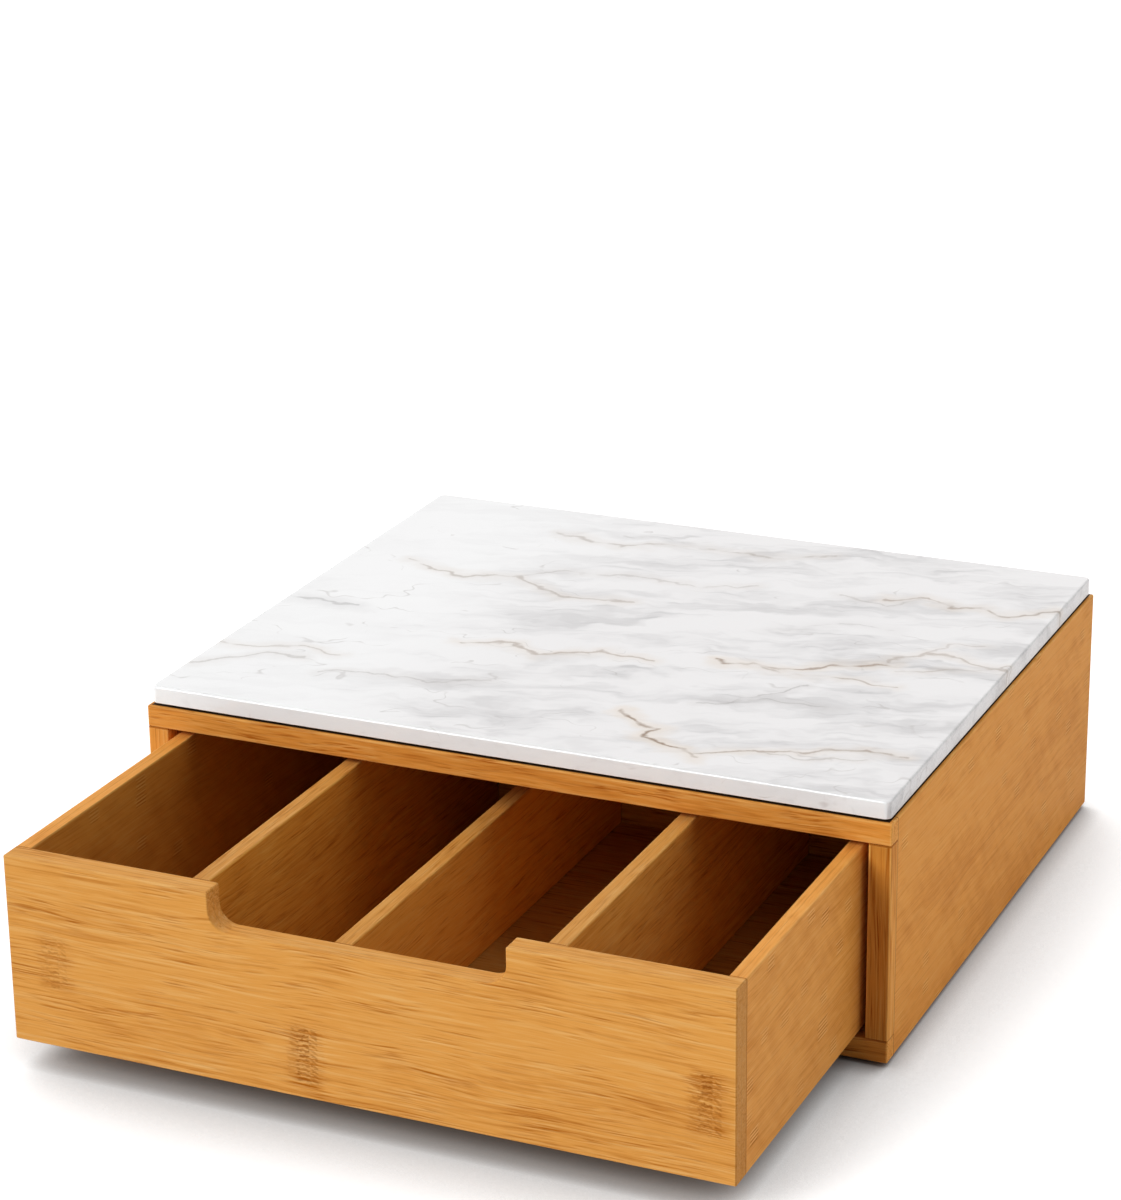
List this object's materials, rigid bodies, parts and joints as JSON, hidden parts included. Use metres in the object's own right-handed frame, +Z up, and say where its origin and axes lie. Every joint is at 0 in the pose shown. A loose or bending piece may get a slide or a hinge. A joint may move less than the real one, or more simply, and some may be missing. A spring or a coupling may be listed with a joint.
{
  "type": "coffee pod drawer",
  "caption": "Low bamboo box with a face frame, a white stone top and a divided drawer with a finger cutout, pulled part of the way out.",
  "frame": {"origin": "on the surface that the feet stand on, under the middle of the whole box with its drawer pulled out 140 mm", "axes": "+Z up, +Y towards the back of the case, the drawer opens towards -Y, +X to the right seen from the front"},
  "size_m": [0.35, 0.44, 0.12],
  "materials": {
    "bamboo_side": "satin bamboo, fine grain front to back",
    "bamboo_board": "satin bamboo, fine grain across",
    "bamboo_panel": "satin thin bamboo panel",
    "bamboo_frame": "satin bamboo, fine grain along each piece",
    "bamboo_front": "satin bamboo, fine grain across",
    "bamboo_drawer": "satin bamboo, fine grain front to back",
    "bamboo_divider": "satin bamboo, fine grain front to back",
    "dowel_wood": "plain turned dowel",
    "stone": "polished white stone with grey and golden veins",
    "clear_pad": "soft clear pad",
    "foot_rubber": "matt dark rubber",
    "glide_nylon": "smooth low-friction strip",
    "screw_steel": "zinc-plated steel"
  },
  "bodies": {
    "case": {"case_left_side": "bamboo_side", "case_right_side": "bamboo_side", "case_top_board": "bamboo_board", "case_bottom_board": "bamboo_board", "case_back_panel": "bamboo_panel", "front_top_rail": "bamboo_frame", "front_bottom_rail": "bamboo_frame", "front_left_stile": "bamboo_frame", "front_right_stile": "bamboo_frame", "stone_slab": "stone", "slab_pads": "clear_pad", "feet": "foot_rubber", "glide_strip_left": "glide_nylon", "glide_strip_right": "glide_nylon", "drawer_stop_block": "bamboo_board", "stop_block_screws": "screw_steel", "drawer_bumpers": "clear_pad", "back_panel_screws": "screw_steel", "case_dowels": "dowel_wood", "frame_dowels": "dowel_wood"},
    "drawer": {"drawer_front": "bamboo_front", "drawer_left_side": "bamboo_drawer", "drawer_right_side": "bamboo_drawer", "drawer_back": "bamboo_drawer", "drawer_bottom": "bamboo_panel", "divider_left": "bamboo_divider", "divider_middle": "bamboo_divider", "divider_right": "bamboo_divider", "drawer_dowels": "dowel_wood", "divider_dowels": "dowel_wood"}
  },
  "joints": [
    {"name": "drawer_slide", "type": "slide", "parent": "case", "child": "drawer", "axis": [0, -1, 0], "range_m": [-0.14, 0.0714]}
  ]
}
